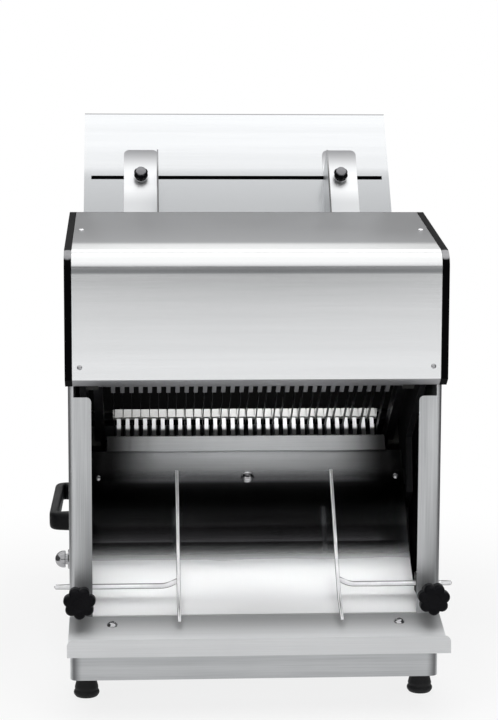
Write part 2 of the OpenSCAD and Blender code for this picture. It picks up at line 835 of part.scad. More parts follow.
// lower cross bar with two lugs and the pin of the connecting rod
module low_bar_lugs(p, x, dir) {
  face = p + dir * bar_t / 2;
  eye = crank_w + dir * pin_offset;
  color("silver") on_chute() union() {
    block([-frame_width / 2, p - bar_t / 2, -low_bar - bar_h / 2],
      [frame_width / 2, p + bar_t / 2, bar_low]);
    for (k = [-1, 1]) translate([x + k * (conrod_t / 2 + gap + 3), 0, -low_bar]) {
      block([-3, min(face, eye), -6], [3, max(face, eye), 6]);
      translate([-3, eye, 0]) rotate([0, 90, 0]) cylinder(h = 6, r = 6);
    }
    translate([x - conrod_t / 2 - 2, eye, -low_bar]) rotate([0, 90, 0])
      cylinder(h = conrod_t + 4, r = pin_r);
  }
}
// thin blade with a toothed upper edge, standing between the cross bars
module blade() {
  a = bar_low + 30;
  step = (bar_high - 40 - a) / tooth_count;
  edge = blade_w / 2;
  teeth = [for (i = [0 : tooth_count - 1], k = [0, 1]) [edge - k * tooth_depth, a + (i + k / 2) * step]];
  rotate([90, 0, 90]) linear_extrude(blade_t, center = true)
    polygon(concat([[-edge, bar_low], [edge, bar_low]], teeth,
      [[edge, bar_high - 40], [edge, bar_high], [-edge, bar_high]]));
}
module blade_row(p, first) {
  color("gainsboro") on_chute() for (i = [-row + first : 2 : row]) translate([i * pitch, p, 0]) blade();
}
module front_frame_rails() { rails(front_plane); }
module front_top_bar() { top_bar(front_plane); }
module front_low_bar() { low_bar_lugs(front_plane, crank_x, -1); }
module front_blades() { blade_row(front_plane, 0); }
module rear_frame_rails() { rails(rear_plane); }
module rear_top_bar() { top_bar(rear_plane); }
module rear_low_bar() { low_bar_lugs(rear_plane, -crank_x, 1); }
module rear_blades() { blade_row(rear_plane, 1); }

// connecting rod with an eye at each end, the crank pin pressed into the large one
module conrod(x, dir) {
  eye = crank_w + dir * pin_offset;
  color("gray") on_chute() translate([x - conrod_t / 2, eye, -low_bar]) rotate([90, 0, 90])
    linear_extrude(conrod_t) difference() {
    union() {
      circle(6.2);
      translate([-4.5, -rod_length]) square([9, rod_length]);
      translate([0, -rod_length]) circle(15);
    }
    circle(pin_r + 0.05);
  }
}
module front_conrod() { conrod(crank_x, -1); }
module rear_conrod() { conrod(-crank_x, 1); }

// angle fence that slides across the chute
fence_t = 2;
fence_low = 150;
fence_high = slot_w + 48;
module fence(side, x) {
  r = 8;
  color("silver") hand(side) on_chute() difference() {
    union() {
      block([x, fence_low, 0], [x + fence_foot, fence_high - r, fence_t]);
      block([x + r, fence_high - r - 1, 0], [x + fence_foot - r, fence_high, fence_t]);
      for (k = [x + r, x + fence_foot - r]) translate([k, fence_high - r, 0])
        cylinder(h = fence_t, r = r);
      block([x, fence_low, 0], [x + fence_t, fence_high - 40, fence_wing]);
    }
    translate([x + fence_foot / 2, knob_w, -5]) cylinder(h = 20, r = 3.1);
  }
}
module left_fence() { fence(-1, fence_left); }
module right_fence() { fence(1, fence_right); }
module fence_knob(side, x) {
  color("black") hand(side) on_chute() translate([x + fence_foot / 2, knob_w, 0]) union() {
    translate([0, 0, -infeed_rim]) cylinder(h = 14, r = 3);
    translate([0, 0, -sheet - 4]) cylinder(h = 3.9, r = 6, $fn = 6);
    translate([0, 0, fence_t]) cylinder(h = 1.5, r = 9);
    translate([0, 0, fence_t + 1.5]) intersection() {
      linear_extrude(15) union() {
        circle(8.5);
        for (i = [0 : 5]) rotate(i * 60) translate([7.5, 0]) circle(3.2, $fn = 16);
      }
      rotate_extrude($fn = 40) polygon([[0, 0], [9, 0], [10.8, 2], [10.8, 12], [8.5, 15], [0, 15]]);
    }
  }
}
module left_fence_knob() { fence_knob(-1, fence_left); }
module right_fence_knob() { fence_knob(1, fence_right); }

base_pan();
feet();
left_side_panel();
right_side_panel();
rear_cover();
left_frame_plate();
right_frame_plate();
cross_ties();
bar_rail();
slide_brace();
hood_cover();
left_hood_end();
right_hood_end();
hood_screws();
throat_plate();
upper_comb();
infeed_plate();
slot_channel();
nylon_bar();
finger_plate();
slide_plate();
slide_screws();
tray_support();
front_tray();
tray_screws();
left_handle();
right_handle();
left_rod_clamp();
right_rod_clamp();
button_bezel();
power_button();
cable_gland();
motor_mount();
motor_body();
motor_pulley();
drive_belt();
crank_bearings();
crankshaft();
crank_pulley();
guide_blocks();
front_frame_rails();
front_top_bar();
front_low_bar();
front_blades();
rear_frame_rails();
rear_top_bar();
rear_low_bar();
rear_blades();
front_conrod();
rear_conrod();
left_fence();
right_fence();
left_fence_knob();
right_fence_knob();
left_wire_guide();
right_wire_guide();
left_star_knob();
right_star_knob();
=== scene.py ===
import math

import bmesh
import bpy
import numpy as np
from mathutils import Matrix, Vector


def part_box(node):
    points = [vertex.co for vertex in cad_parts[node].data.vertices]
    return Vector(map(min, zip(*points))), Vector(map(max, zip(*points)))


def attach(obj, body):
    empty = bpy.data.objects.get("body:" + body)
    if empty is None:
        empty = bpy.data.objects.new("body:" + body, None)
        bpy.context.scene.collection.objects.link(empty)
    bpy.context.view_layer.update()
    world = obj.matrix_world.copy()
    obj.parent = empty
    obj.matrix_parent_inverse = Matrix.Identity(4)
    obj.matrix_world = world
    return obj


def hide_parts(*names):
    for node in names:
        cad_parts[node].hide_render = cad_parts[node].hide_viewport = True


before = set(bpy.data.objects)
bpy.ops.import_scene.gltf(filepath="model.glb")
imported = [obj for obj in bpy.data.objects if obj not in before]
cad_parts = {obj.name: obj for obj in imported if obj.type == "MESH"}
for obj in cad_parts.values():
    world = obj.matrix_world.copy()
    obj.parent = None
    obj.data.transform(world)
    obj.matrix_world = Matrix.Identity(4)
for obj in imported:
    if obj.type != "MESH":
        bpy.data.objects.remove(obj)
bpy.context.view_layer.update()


# Base pan, rear cover and the angle under the tray.
# Folded from 1.5 mm stainless sheet with welded corners, then ground with a belt: fine lines run across.
# The pan carries the frame plates and the motor, and the rear cover closes the body behind the chute.
class Value:
    """One output socket of a shader node. Operators on values add Math nodes, and node() adds any other."""

    def __init__(self, tree, socket):
        self.tree = tree
        self.socket = socket

    def node(self, kind, settings=None, sockets=None, output=0):
        """Adds a node, sets its settings, then sets or links its sockets, and returns one of its outputs."""
        made = self.tree.nodes.new("ShaderNode" + kind)
        for name, setting in (settings or {}).items():
            setattr(made, name, setting)
        for name, value in (sockets or {}).items():
            if isinstance(value, Value):
                self.tree.links.new(value.socket, made.inputs[name])
            else:
                made.inputs[name].default_value = value
        return Value(self.tree, made.outputs[output])

    def math(self, operation, a, b):
        return self.node("Math", {"operation": operation}, {0: a, 1: b})

    def __add__(self, other):
        return self.math("ADD", self, other)

    def __radd__(self, other):
        return self.math("ADD", other, self)

    def __sub__(self, other):
        return self.math("SUBTRACT", self, other)

    def __rsub__(self, other):
        return self.math("SUBTRACT", other, self)

    def __mul__(self, other):
        return self.math("MULTIPLY", self, other)

    def __rmul__(self, other):
        return self.math("MULTIPLY", other, self)

    def limit(self, low, high):
        """This value eased from 0 at low to 1 at high."""
        return self.node("MapRange", {"interpolation_type": "SMOOTHSTEP"}, {0: self, 1: low, 2: high})

    def noise(self, scale, stretch=(1, 1, 1), detail=3.0):
        """Noise from 0 to 1 on this place, drawn out along the axes whose stretch is small."""
        drawn = self.node("Mapping", {"vector_type": "POINT"}, {"Vector": self, "Scale": stretch})
        return self.node("TexNoise", None, {"Vector": drawn, "Scale": scale, "Detail": detail})

    def blend(self, dark, light):
        """A colour between two colours, by this value."""
        ends = [end if isinstance(end, Value) else (*end, 1) for end in (dark, light)]
        return self.node("Mix", {"data_type": "RGBA"}, {0: self, 6: ends[0], 7: ends[1]}, 2)

    def dot(self, direction):
        """How far this vector goes along a direction."""
        return self.node("VectorMath", {"operation": "DOT_PRODUCT"}, {0: self, 1: tuple(direction)}, 1)

    def size(self):
        """This value without its sign."""
        return self.math("ABSOLUTE", self, 0)

    def facing(self):
        """The way the surface faces, along the object's own axes."""
        return self.node("TexCoord", output=1)

    def fronting(self):
        """1 where the surface faces the front, easing to 0 elsewhere."""
        return self.facing().dot((0, -1, 0)).limit(0.5, 0.9)


def finish(name, **constants):
    """A new material with its fixed shader values set, its shader, and the place on the object as a Value."""
    material = bpy.data.materials.new(name)
    material.use_nodes = True
    tree = material.node_tree
    shader = tree.nodes["Principled BSDF"]
    for socket, value in constants.items():
        shader.inputs[socket.replace("_", " ")].default_value = value
    return material, shader, Value(tree, tree.nodes.new("ShaderNodeTexCoord").outputs["Object"])


def coat(shader, colour, rough, relief, depth):
    """Links a colour, a roughness and a relief of that depth in metres to a shader."""
    tree = colour.tree
    tree.links.new(colour.socket, shader.inputs["Base Color"])
    tree.links.new(rough.socket, shader.inputs["Roughness"])
    bump = relief.node("Bump", None, {"Height": relief, "Distance": depth, "Strength": 1.0})
    tree.links.new(bump.socket, shader.inputs["Normal"])


def ground_steel(name, grain, dark, light, rough, metallic=1.0, lines=0.12, change=None, shine=0.5):
    """Ground sheet: fine lines and broad soft bands along the grain axis, with faint cloudy patches.
    Where change is given, it turns the place, colour and gloss into a colour, a gloss and a metal share."""
    along = [1.0, 1.0, 1.0]
    along["xyz".index(grain)] = 0.012
    material, shader, place = finish(name, Metallic=metallic, Specular_IOR_Level=shine)
    fine = place.noise(900, along, 4.0)
    broad = place.noise(70, along)
    clouds = place.noise(9)
    tone = fine * 0.35 + broad * 0.45 + clouds * 0.2
    gloss = rough - lines * 0.5 + fine * lines + clouds * 0.06
    colour = tone.limit(0.3, 0.7).blend(dark, light)
    if change:
        colour, gloss, metal = change(place, colour, gloss)
        place.tree.links.new(metal.socket, shader.inputs["Metallic"])
    coat(shader, colour, gloss, fine, 0.000012)
    return material


def dress(material, *nodes):
    """Gives CAD nodes their finish."""
    for node in nodes:
        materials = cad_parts[node].data.materials
        materials.clear()
        materials.append(material)


MM = 0.001


def bevelled(shape, width):
    """Rounds the edges of an object that are sharper than 40 degrees, by a radius in millimetres."""
    bevel = shape.modifiers.new("edges", "BEVEL")
    bevel.width = width * MM
    bevel.segments = 2
    bevel.limit_method = "ANGLE"
    bevel.angle_limit = math.radians(40)


def soften(width, *nodes):
    """Breaks the sharp edges of CAD nodes by a small radius in millimetres."""
    for node in nodes:
        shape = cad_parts[node]
        weld = shape.modifiers.new("joined", "WELD")
        weld.merge_threshold = 0.00001
        bevelled(shape, width)


pan_end = float(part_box("base_pan")[1][0])
# Width of the band of painted shade at each end of the pan's front, in metres.
end_shade_wide = 0.016


def pan_end_shade(place, colour, gloss):
    """The ends of the pan's front, at its welded corners, are painted darker, as painted shade."""
    ends = place.dot((1, 0, 0)).size().limit(pan_end - end_shade_wide, pan_end) * place.fronting()
    return ends.blend(colour, (0.06, 0.06, 0.065)), gloss, 1 - ends * 0.5


pan_steel = ground_steel("pan_steel", "x", (0.40, 0.41, 0.42), (0.56, 0.57, 0.58), 0.34, change=pan_end_shade)
dress(pan_steel, "base_pan", "tray_support")
cover_steel = ground_steel("cover_steel", "x", (0.52, 0.53, 0.54), (0.64, 0.65, 0.66), 0.34)
dress(cover_steel, "rear_cover")
soften(0.6, "base_pan", "rear_cover")


# Feet.
# Four black rubber feet, moulded with a flared sole and a shallow groove, screwed up into the pan.
# The sole is a little dished so that only its rim stands on the bench.
def skin(points, around=True, closed=True):
    """Quads over a grid of points, rows by columns; around joins the last column to the first, and closed
    adds a fan from the middle of the first and of the last row."""
    rows, columns = points.shape[:2]
    row, column = np.meshgrid(np.arange(rows - 1), np.arange(columns - (not around)), indexing="ij")
    after = (column + 1) % columns
    here = row * columns
    quads = np.stack((here + column, here + after, here + columns + after, here + columns + column), -1)
    quads = quads.reshape(-1, 4)
    verts = points.reshape(-1, 3)
    fans = np.zeros((0, 3), int)
    if closed:
        ring = np.arange(columns)
        ends = (rows - 1) * columns
        middle = len(verts)
        first = np.stack((np.roll(ring, -1), ring, np.full(columns, middle)), -1)
        last = np.stack((ends + ring, ends + np.roll(ring, -1), np.full(columns, middle + 1)), -1)
        fans = np.vstack((first, last))
        verts = np.vstack((verts, points[[0, -1]].mean(axis=1)))
    return verts, quads, fans


def piece(name, skins, material, body, nodes=(), sharp=40, closed=True):
    """One object from skins in millimetres, riding on a body and standing for CAD nodes."""
    starts = np.cumsum([0] + [len(verts) for verts, quads, fans in skins])
    verts = np.vstack([part[0] for part in skins]) * MM
    quads = np.vstack([part[1] + start for part, start in zip(skins, starts)]).tolist()
    fans = np.vstack([part[2] + start for part, start in zip(skins, starts)]).tolist()
    mesh = bpy.data.meshes.new(name)
    mesh.from_pydata(verts.tolist(), [], quads + fans)
    if closed:
        shell = bmesh.new()
        shell.from_mesh(mesh)
        bmesh.ops.recalc_face_normals(shell, faces=shell.faces)
        shell.to_mesh(mesh)
        shell.free()
    mesh.polygons.foreach_set("use_smooth", np.ones(len(mesh.polygons), bool))
    mesh.set_sharp_from_angle(angle=math.radians(sharp))
    mesh.materials.append(material)
    made = bpy.data.objects.new(name, mesh)
    bpy.context.scene.collection.objects.link(made)
    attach(made, body)
    if nodes:
        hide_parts(*nodes)
    return made


def eased(points, radius, steps=6):
    """A line whose inner corners are blended: (1-t)^2 a + 2t(1-t) b + t^2 c, with a and c a radius from b."""
    points = np.array(points, float)
    t = np.linspace(0, 1, steps)[:, None]
    line = [points[:1]]
    for before, corner, after in zip(points, points[1:], points[2:]):
        back = (before - corner) * min(0.5, radius / np.linalg.norm(before - corner))
        on = (after - corner) * min(0.5, radius / np.linalg.norm(after - corner))
        line.append((1 - t) ** 2 * (corner + back) + 2 * t * (1 - t) * corner + t ** 2 * (corner + on))
    return np.vstack(line + [points[-1:]])


def sides(axis):
    """Two unit vectors square to an axis and to each other."""
    axis = np.array(axis, float)
    other = np.eye(3)[np.argmin(abs(axis))]
    first = np.cross(axis, other)
    first /= np.linalg.norm(first)
    return first, np.cross(axis, first)


def turned(profile, centre, axis, around=48, lobes=None):
    """Profile of (radius, height) turned about an axis: centre + height axis + radius (cos a p + sin a q).
    Where lobes is given, its value at each angle and row is added to the radius."""
    profile = np.array(profile, float)
    angle = np.linspace(0, 2 * np.pi, around, endpoint=False)
    p, q = sides(axis)
    radius = profile[:, :1] + (0 if lobes is None else lobes(angle, profile))
    ring = np.cos(angle)[None, :, None] * p + np.sin(angle)[None, :, None] * q
    points = np.array(centre) + profile[:, 1, None, None] * np.array(axis, float) + radius[..., None] * ring
    return skin(points)


def moulded(name, dark, light, rough, grain, depth, shine=0.5):
    """Moulded plastic or rubber: a fine pebbled skin, slightly uneven gloss and colour."""
    material, shader, place = finish(name, Specular_IOR_Level=shine)
    pebble = place.noise(grain, detail=4.0)
    patch = place.noise(25)
    tone = pebble * 0.5 + patch * 0.5
    coat(shader, tone.limit(0.3, 0.7).blend(dark, light), rough - 0.08 + patch * 0.16, pebble, depth)
    return material


def corners(node):
    """Lowest and highest corner of a CAD node in millimetres."""
    low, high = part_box(node)
    return np.array(low) / MM, np.array(high) / MM


rubber = moulded("foot_rubber", (0.006, 0.006, 0.007), (0.014, 0.014, 0.015), 0.62, 900, 0.00005,
                 shine=0.3)
feet_low, feet_high = corners("feet")
foot_radius = 16.5
foot_height = feet_high[2]
foot_profile = eased([(8, 1.6), (11, 0), (13.6, 0), (foot_radius, 4), (16.4, 7), (14.6, 9.4), (15.2, 12),
                      (13.4, 19), (12.4, foot_height), (4, foot_height)], 1.4)
foot_places = [(x, y, 0) for x in (feet_low[0] + foot_radius, feet_high[0] - foot_radius)
               for y in (feet_low[1] + foot_radius, feet_high[1] - foot_radius)]
piece("rubber_feet", [turned(foot_profile, place, (0, 0, 1)) for place in foot_places], rubber,
      "machine", ["feet"])


# Side panels.
# Stainless sheet, bent at the front into narrow posts, with the grinding lines running up and down.
# They are screwed to the frame plates from inside and stand on the rim of the pan.
post_end = float(corners("right_side_panel")[1][0]) * MM
post_wide = 0.029
# Painted shade on the posts sets in below the first height and is full at the second, in metres above the
# bench.
unshaded_above = 0.34
fully_shaded_below = 0.12


def posts_painted_shade(place, colour, gloss):
    """The posts, which face the front, are painted darker towards the tray, and most along their right
    edges, as painted shade.
    """
    across = place.dot((1, 0, 0))
    low = place.dot((0, 0, 1)).limit(unshaded_above, fully_shaded_below)
    left_half = across.limit(0.05, -0.05)
    left_post = across.limit(-post_end, post_wide - post_end) * left_half
    right_post = across.limit(post_end - post_wide, post_end)
    dark = place.fronting() * low * (0.1 + (left_post + right_post) * 0.9)
    return dark.blend(colour, (0.20, 0.205, 0.21)), gloss, 1 - dark * 0.1


panel_steel = ground_steel("panel_steel", "z", (0.42, 0.43, 0.44), (0.70, 0.71, 0.72), 0.40, lines=0.08,
                           change=posts_painted_shade)
dress(panel_steel, "left_side_panel", "right_side_panel")


# Inner frame.
# Two thick steel plates with round ties, a rail under the nylon bar, a brace under the slide, the slot's
# channel and the rod clamps. Welded or bolted up, then coated with black paint that has a slight orange peel.
def painted(name, dark, light, rough, peel, shine=0.5):
    """Sprayed paint: soft orange peel of that depth, thin patches and a little dust in the gloss."""
    material, shader, place = finish(name, Specular_IOR_Level=shine)
    ripple = place.noise(420, detail=2.0)
    patch = place.noise(14, detail=5.0)
    coat(shader, patch.limit(0.3, 0.7).blend(dark, light), rough - 0.1 + patch * 0.2, ripple, peel)
    return material


# Black paint, made near black as painted shade inside the body; the slot's channel is there as painted shade
# behind the slot.
frame_paint = painted("frame_paint", (0.004, 0.004, 0.005), (0.009, 0.009, 0.010), 0.55, 0.00008,
                      shine=0.2)
dress(frame_paint, "left_frame_plate", "right_frame_plate", "cross_ties", "bar_rail", "slide_brace",
      "slot_channel", "left_rod_clamp", "right_rod_clamp", "motor_mount", "crank_bearings")


# Motor, belt and crank.
# A grey painted motor turns the two-throw crank through a rubber belt on turned aluminium pulleys.
# The connecting rods and the crankshaft are milled and turned steel.
motor_paint = painted("motor_paint", (0.10, 0.105, 0.11), (0.16, 0.165, 0.17), 0.45, 0.00008)
dress(motor_paint, "motor_body")
dress(rubber, "drive_belt")
pulley_metal = ground_steel("pulley_metal", "x", (0.50, 0.50, 0.51), (0.66, 0.66, 0.67), 0.32)
dress(pulley_metal, "crank_pulley", "motor_pulley")
milled_steel = ground_steel("milled_steel", "x", (0.30, 0.31, 0.32), (0.46, 0.47, 0.48), 0.36)
dress(milled_steel, "crankshaft", "front_conrod", "rear_conrod")


# Blade frames.
# Two oiled steel frames that slide against each other in greased nylon guides, each strung with blades.
# The blades are punched from thin strip and pinned in the bars. A white nylon bar backs them.
oiled_steel = ground_steel("oiled_steel", "z", (0.05, 0.05, 0.055), (0.09, 0.09, 0.095), 0.36)
dress(oiled_steel, "front_frame_rails", "front_top_bar", "front_low_bar", "rear_frame_rails", "rear_top_bar",
      "rear_low_bar")
# The blades are near black as painted shade under the hood.
blade_steel = ground_steel("blade_steel", "z", (0.012, 0.012, 0.013), (0.025, 0.025, 0.027), 0.45)
dress(blade_steel, "front_blades", "rear_blades")
nylon = moulded("white_nylon", (0.60, 0.60, 0.59), (0.70, 0.70, 0.69), 0.5, 500, 0.00004)
dress(nylon, "nylon_bar")
# The guide blocks are near black as painted shade.
nylon_painted_shade = moulded("nylon_painted_shade", (0.05, 0.05, 0.05), (0.10, 0.10, 0.09), 0.4, 500, 0.00004)
dress(nylon_painted_shade, "guide_blocks")


# Throat plate, combs and fingers.
# Laser-cut stainless sheet: the upper comb and the finger plate hold the blades apart on either side of
# the loaf. The apron below the fingers is screwed to the head of the slide.
slope = math.radians(54)
up_chute = np.array((0, math.cos(slope), math.sin(slope)))
off_chute = np.array((0, -math.sin(slope), math.cos(slope)))
# Where each tone sets in and is full, in metres: out from the middle, below the finger tips, above the bench.
shade_out = (0.110, 0.188)
tip_highlight = (0.019, 0.014)
root_shade_under = (0.016, 0.020)
root_shade_over = (0.0290, 0.0275)
bare_foot = (0.46, 0.44)


def ends_in_shade(place):
    """1 at both ends, where painted shade lies, easing to 0 towards the middle."""
    return place.dot((1, 0, 0)).size().limit(*shade_out)


def tips_painted_light(place, colour, gloss):
    """The finger tips are pale and matt, the pale being a painted highlight. Their roots and the ends of the
    apron carry painted shade, and the apron is ground and bright in the middle."""
    tip = corners("finger_plate")[1] * MM
    below = float(tip @ up_chute) - place.dot(up_chute)
    pale = below.limit(*tip_highlight)
    root_shade = below.limit(*root_shade_under) * below.limit(*root_shade_over)
    toned = root_shade.blend(pale.blend(colour, (0.86, 0.86, 0.87)), (0.05, 0.05, 0.05))
    ends = ends_in_shade(place) * (1 - pale)
    return ends.blend(toned, (0.02, 0.02, 0.02)), gloss + pale * 0.1, (1 - pale) * 0.5 * (1 - ends)


finger_steel = ground_steel("finger_steel", "x", (0.60, 0.61, 0.62), (0.72, 0.73, 0.74), 0.34,
                            change=tips_painted_light)
dress(finger_steel, "finger_plate")
comb_steel = ground_steel("comb_steel", "x", (0.26, 0.26, 0.27), (0.36, 0.36, 0.37), 0.36, metallic=0.5)
dress(comb_steel, "upper_comb")


def black_as_shade(place, colour, gloss):
    """The upper part of the throat plate is painted black as painted shade, and its lower end is bare
    ground steel.
    """
    bare = place.dot((0, 0, 1)).limit(*bare_foot)
    return bare.blend((0.006, 0.006, 0.007), colour), gloss, bare * 0.3


throat_steel = ground_steel("throat_steel", "x", (0.60, 0.61, 0.62), (0.72, 0.73, 0.74), 0.40,
                            change=black_as_shade)
dress(throat_steel, "throat_plate")


# Slide and tray.
# Stainless sheet: the slide is rolled from the steep chute to the gentle slope of the tray, whose lip is
# folded up. Grinding lines run across, and the slices keep the surface bright.

# Where each tone sets in and is full, in metres above the bench, and for the tray from front to back.
rest_under = (0.175, 0.143)
head_over = (0.250, 0.268)
head_shade_top = (0.252, 0.246)
head_shade_low = (0.190, 0.235)
end_shade_over = (0.215, 0.235)
band_shade_top = (0.200, 0.193)
band_shade_low = (0.171, 0.177)
tray_shade_back = (-0.280, -0.225)


def dulled_and_shaded(place, colour, gloss):
    """The lower end, where the slices come to rest, is scoured pale and dull, and the head under the apron a
    little. The steep part between them stays a mirror, with painted shade below the head, at its ends and
    in a band just above the lower end."""
    height = place.dot((0, 0, 1))
    matted = height.limit(*rest_under)
    scuffed = height.limit(*head_over)
    head_shade = height.limit(*head_shade_top) * height.limit(*head_shade_low)
    end_shade = ends_in_shade(place) * height.limit(*end_shade_over)
    band_shade = height.limit(*band_shade_top) * height.limit(*band_shade_low)
    toned = head_shade.blend(band_shade.blend(colour, (0.24, 0.24, 0.25)), (0.12, 0.12, 0.12))
    toned = end_shade.blend(toned, (0.03, 0.03, 0.03))
    toned = matted.blend(toned, (0.88, 0.885, 0.89))
    return toned, gloss + matted * 0.25 + scuffed * 0.1, 1 - matted * 0.85 - scuffed * 0.35


slide_steel = ground_steel("slide_steel", "x", (0.58, 0.59, 0.60), (0.70, 0.71, 0.72), 0.10, lines=0.05,
                           change=dulled_and_shaded)
dress(slide_steel, "slide_plate")


def tray_rear_shade(place, colour, gloss):
    """The rear of the tray, under the edge of the slide, is painted darker as painted shade."""
    rear_shade = place.dot((0, 1, 0)).limit(*tray_shade_back)
    return rear_shade.blend(colour, (0.36, 0.365, 0.37)), gloss, 0.2 + rear_shade * 0.2


tray_steel = ground_steel("tray_steel", "x", (0.66, 0.67, 0.68), (0.76, 0.77, 0.78), 0.40, change=tray_rear_shade)
dress(tray_steel, "front_tray")


# Screws.
# Polished stainless screws with domed heads: six-sided sockets on slide and tray, a cross on the hood.
# A large one and two small ones hold the slide, and two hold the tray. The hood's are with the hood.
def polished_steel(name, tone, rough, metallic=1.0, shade_by_facing=None):
    """Polished steel: almost even, with faint hairline scratches in colour, gloss and relief.
    Where the last argument is given, it is the share of painted shade at each way a surface faces."""
    material, shader, place = finish(name, Metallic=metallic)
    hair = place.noise(1600, (1, 0.2, 1))
    patch = place.noise(60)
    dark = tuple(0.82 * part for part in tone)
    colour = (hair * 0.5 + patch * 0.5).limit(0.3, 0.7).blend(dark, tone)
    if shade_by_facing:
        colour = shade_by_facing(place.facing()).blend(colour, (0.03, 0.03, 0.03))
    coat(shader, colour, rough + patch * 0.08, hair, 0.00001)
    return material


def cross_recess(x, y, diameter):
    """1 inside a cross of two rounded grooves, easing to 0 at its walls."""
    width = 0.11 * diameter
    reach = 0.30 * diameter
    wall = 0.4 * width
    arms = [np.clip((width - abs(side)) / wall, 0, 1) * np.clip((reach - abs(run)) / wall, 0, 1)
            for side, run in ((x, y), (y, x))]
    return np.maximum(*arms)


def hex_recess(x, y, diameter):
    """1 inside a six-sided socket, easing to 0 at its walls."""
    flats = 0.17 * diameter
    turns = np.radians((0, 60, 120))
    apart = np.max([abs(x * math.cos(turn) + y * math.sin(turn)) for turn in turns], axis=0)
    return np.clip((flats - apart) / (0.12 * flats), 0, 1)


def screw_head(centre, axis, diameter, height, depth, recess):
    """Spherical cap of a diameter and height on a polar grid, less a recess of that depth:
    h(r, a) = sqrt(R^2 - r^2) - R + height - depth recess(r, a), with R the radius of the sphere."""
    rim = diameter / 2
    ball = (rim ** 2 + height ** 2) / (2 * height)
    angle = np.linspace(0, 2 * np.pi, 72, endpoint=False)
    r = np.linspace(1, 0.02, 40)[:, None] * rim
    x = r * np.cos(angle)
    y = r * np.sin(angle)
    high = np.sqrt(ball ** 2 - r ** 2) - ball + height - depth * recess(x, y, diameter)
    p, q = sides(axis)
    level = np.array(centre) + x[..., None] * p + y[..., None] * q
    return skin(level + high[..., None] * np.array(axis, float))


screw_steel = polished_steel("screw_steel", (0.55, 0.55, 0.56), 0.12)
sheet = 1.5
brace_bar = 12
brace = np.mean(corners("slide_brace"), axis=0)
screw_line = np.array((0, brace[1], brace[2])) + (brace_bar / 2 + sheet) * off_chute
# Diameter, height and depth of recess of each head.
large_screw = (18, 6, 3)
small_screw = (9, 3, 1.6)
tray_screw = (14, 4.5, 2)
side_x = corners("slide_screws")[1][0] - small_screw[0] / 2
slide_heads = [screw_head(screw_line, off_chute, *large_screw, hex_recess)]
slide_heads += [screw_head(screw_line + (x, 0, 0), off_chute, *small_screw, hex_recess)
                for x in (-side_x, side_x)]
piece("slide_screw_heads", slide_heads, screw_steel, "machine", ["slide_screws"])
tray_slope = math.radians(15)
off_tray = np.array((0, -math.sin(tray_slope), math.cos(tray_slope)))
tray_low, tray_high = corners("tray_screws")
tray_rim = tray_screw[0] / 2
tray_x = tray_high[0] - tray_rim
tray_y = tray_low[1] + tray_rim * math.cos(tray_slope)
tray_z = tray_low[2] + tray_rim * math.sin(tray_slope)
tray_heads = [screw_head((x, tray_y, tray_z), off_tray, *tray_screw, hex_recess) for x in (-tray_x, tray_x)]
piece("tray_screw_heads", tray_heads, screw_steel, "machine", ["tray_screws"])


# Hood.
# One stainless sheet, bent round a large radius from the front into the top, with a narrow lip folded in
# below. It lies on ledges of the two black end plates, and four small screws hold it.
hood_low, hood_high = corners("hood_cover")
lip_in = 12.5
lip_fall = 8.75
fold_radius = 2.0
fold_end = 40
front_high = 138.5
bend = 22
rise = 9.8
pitch = math.radians(rise)
off_top = np.array((0, -math.sin(pitch), math.cos(pitch)))
front = hood_low[1]
rear = hood_high[1]
edge_z = hood_low[2] + lip_fall
bend_z = edge_z + front_high
turn = np.radians(np.linspace(180, 90 + rise, 25))
arc = np.stack((front + bend + bend * np.cos(turn), bend_z + bend * np.sin(turn)), -1)
rear_z = arc[-1, 1] + (rear - arc[-1, 0]) * math.tan(pitch)
fold = eased([(front + lip_in, edge_z - lip_fall), (front, edge_z), (front, edge_z + fold_end)], fold_radius)
hood_line = np.vstack((fold, arc, [(rear, rear_z)]))
hood_x = np.array((hood_low[0], hood_high[0]))
hood_grid = np.stack((np.broadcast_to(hood_x, (len(hood_line), 2)),
                      np.repeat(hood_line[:, :1], 2, 1), np.repeat(hood_line[:, 1:], 2, 1)), -1)
bend_start = float(bend_z) * MM
rear_edge = float(rear) * MM
top_inset = 0.04
top_start = float(front) * MM + top_inset


def hood_painted_light(place, colour, gloss):
    """The inside is painted black as painted shade, and the folded lip is duller and darker than the front.
    The top is duller and painted darker, as painted shade. The bend carries a painted highlight above a
    painted dark line of shade, and the rear edge a painted dark line of shade."""
    facing = place.facing()
    height = place.dot((0, 0, 1))
    depth = place.dot((0, 1, 0))
    outside = facing.dot((0, -1, 0.35)).limit(-0.05, 0.05)
    lip_side = facing.dot((0, 0, -1)).limit(0.3, 0.6) * outside
    top = facing.dot(off_top).limit(0.90, 0.96) * depth.limit(top_start, top_start + 0.02)
    bend_shade_line = height.limit(bend_start - 0.009, bend_start - 0.005)
    bend_shade_line = bend_shade_line * height.limit(bend_start + 0.005, bend_start - 0.003)
    bend_highlight = height.limit(bend_start + 0.003, bend_start + 0.008) * (1 - top)
    rear_edge_shade = depth.limit(rear_edge - 0.008, rear_edge - 0.003)
    shown = top.blend(bend_highlight.blend(colour, (0.97, 0.98, 0.98)), (0.39, 0.395, 0.405))
    shown = lip_side.blend(shown, (0.36, 0.36, 0.37))
    shown = bend_shade_line.blend(shown, (0.36, 0.37, 0.38))
    shown = rear_edge_shade.blend(shown, (0.30, 0.30, 0.31))
    rough = gloss + lip_side * 0.3 + top * 0.15 + bend_highlight * 0.10
    return outside.blend((0.012, 0.012, 0.013), shown), rough, outside


